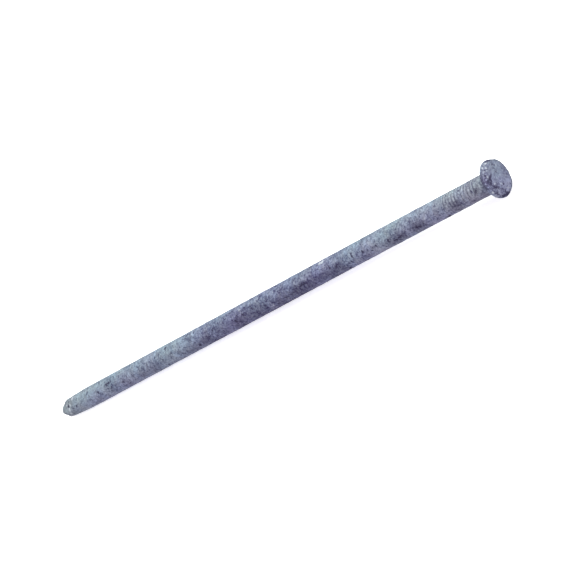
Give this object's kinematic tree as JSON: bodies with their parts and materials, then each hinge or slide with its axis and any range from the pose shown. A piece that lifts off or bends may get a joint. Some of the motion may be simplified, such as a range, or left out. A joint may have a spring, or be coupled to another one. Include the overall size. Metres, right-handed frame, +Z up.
{
  "type": "round-head timber spike",
  "caption": "Long round-shank driving spike with a flat round head, gripper marks under the head, a blunt pinched point and a hot-dip zinc coat.",
  "frame": {"origin": "centre of the flat bearing face under the head, on the shank's axis", "axes": "+X along the shank from the point to the head, +Z up with the spike lying level, +Y to the side"},
  "size_m": [0.3077, 0.0178, 0.0178],
  "materials": {
    "forged_steel": "bare forged steel, dull",
    "hot_dip_zinc": "weathered hot-dip zinc, matt to satin, blue-grey with darker stains"
  },
  "bodies": {
    "root": {"steel_spike": "forged_steel", "zinc_coating": "hot_dip_zinc"}
  },
  "joints": []
}
